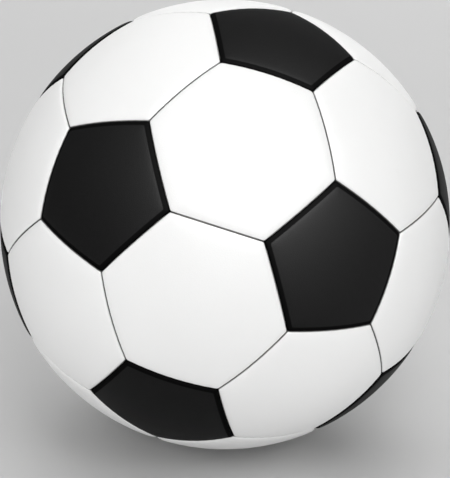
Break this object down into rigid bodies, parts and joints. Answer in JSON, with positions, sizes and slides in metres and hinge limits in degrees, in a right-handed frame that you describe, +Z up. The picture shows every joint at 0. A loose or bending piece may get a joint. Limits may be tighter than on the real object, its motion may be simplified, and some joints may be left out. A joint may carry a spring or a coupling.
{
  "type": "soccer ball",
  "caption": "Hand-stitched soccer ball: pentagon and hexagon panels with cloth linings over an inflated bladder, with a needle valve.",
  "frame": {"origin": "centre of the ball", "axes": "+Z up as the ball lies; -Y faces a viewer in front of it, +X to that viewer's right"},
  "size_m": [0.22, 0.22, 0.22],
  "materials": {
    "black_cover": "satin coated synthetic leather with a fine grain",
    "white_cover": "satin coated synthetic leather with a fine grain",
    "lining_cloth": "woven cotton and polyester cloth, glued in layers",
    "seam_thread": "waxed twisted polyester thread",
    "bladder_rubber": "smooth natural latex",
    "patch_cloth": "woven cloth, glued",
    "valve_rubber": "matt moulded rubber",
    "core_rubber": "matt moulded rubber, lightly oiled"
  },
  "bodies": {
    "ball": {"bladder": "bladder_rubber", "hexagon_lining_01": "lining_cloth", "hexagon_lining_02": "lining_cloth", "hexagon_lining_03": "lining_cloth", "hexagon_lining_04": "lining_cloth", "hexagon_lining_05": "lining_cloth", "hexagon_lining_06": "lining_cloth", "hexagon_lining_07": "lining_cloth", "hexagon_lining_08": "lining_cloth", "hexagon_lining_09": "lining_cloth", "hexagon_lining_10": "lining_cloth", "hexagon_lining_11": "lining_cloth", "hexagon_lining_12": "lining_cloth", "hexagon_lining_13": "lining_cloth", "hexagon_lining_14": "lining_cloth", "hexagon_lining_15": "lining_cloth", "hexagon_lining_16": "lining_cloth", "hexagon_lining_17": "lining_cloth", "hexagon_lining_18": "lining_cloth", "hexagon_lining_19": "lining_cloth", "hexagon_panel_01": "white_cover", "hexagon_panel_02": "white_cover", "hexagon_panel_03": "white_cover", "hexagon_panel_04": "white_cover", "hexagon_panel_05": "white_cover", "hexagon_panel_06": "white_cover", "hexagon_panel_07": "white_cover", "hexagon_panel_08": "white_cover", "hexagon_panel_09": "white_cover", "hexagon_panel_10": "white_cover", "hexagon_panel_11": "white_cover", "hexagon_panel_12": "white_cover", "hexagon_panel_13": "white_cover", "hexagon_panel_14": "white_cover", "hexagon_panel_15": "white_cover", "hexagon_panel_16": "white_cover", "hexagon_panel_17": "white_cover", "hexagon_panel_18": "white_cover", "hexagon_panel_19": "white_cover", "hexagon_seam_thread": "seam_thread", "pentagon_linings": "lining_cloth", "pentagon_panel_01": "black_cover", "pentagon_panel_02": "black_cover", "pentagon_panel_03": "black_cover", "pentagon_panel_04": "black_cover", "pentagon_panel_05": "black_cover", "pentagon_panel_06": "black_cover", "pentagon_panel_07": "black_cover", "pentagon_panel_08": "black_cover", "pentagon_panel_09": "black_cover", "pentagon_panel_10": "black_cover", "pentagon_panel_11": "black_cover", "pentagon_panel_12": "black_cover", "pentagon_seam_thread": "seam_thread", "valve_body": "valve_rubber", "valve_panel": "white_cover", "valve_panel_lining": "lining_cloth", "valve_patch": "patch_cloth"},
    "valve_core": {"valve_core": "core_rubber"}
  },
  "joints": [
    {"name": "valve_core_pull", "type": "slide", "parent": "ball", "child": "valve_core", "axis": [-0.3557, 0.7978, 0.4868], "range_m": [0, 0.025]}
  ]
}
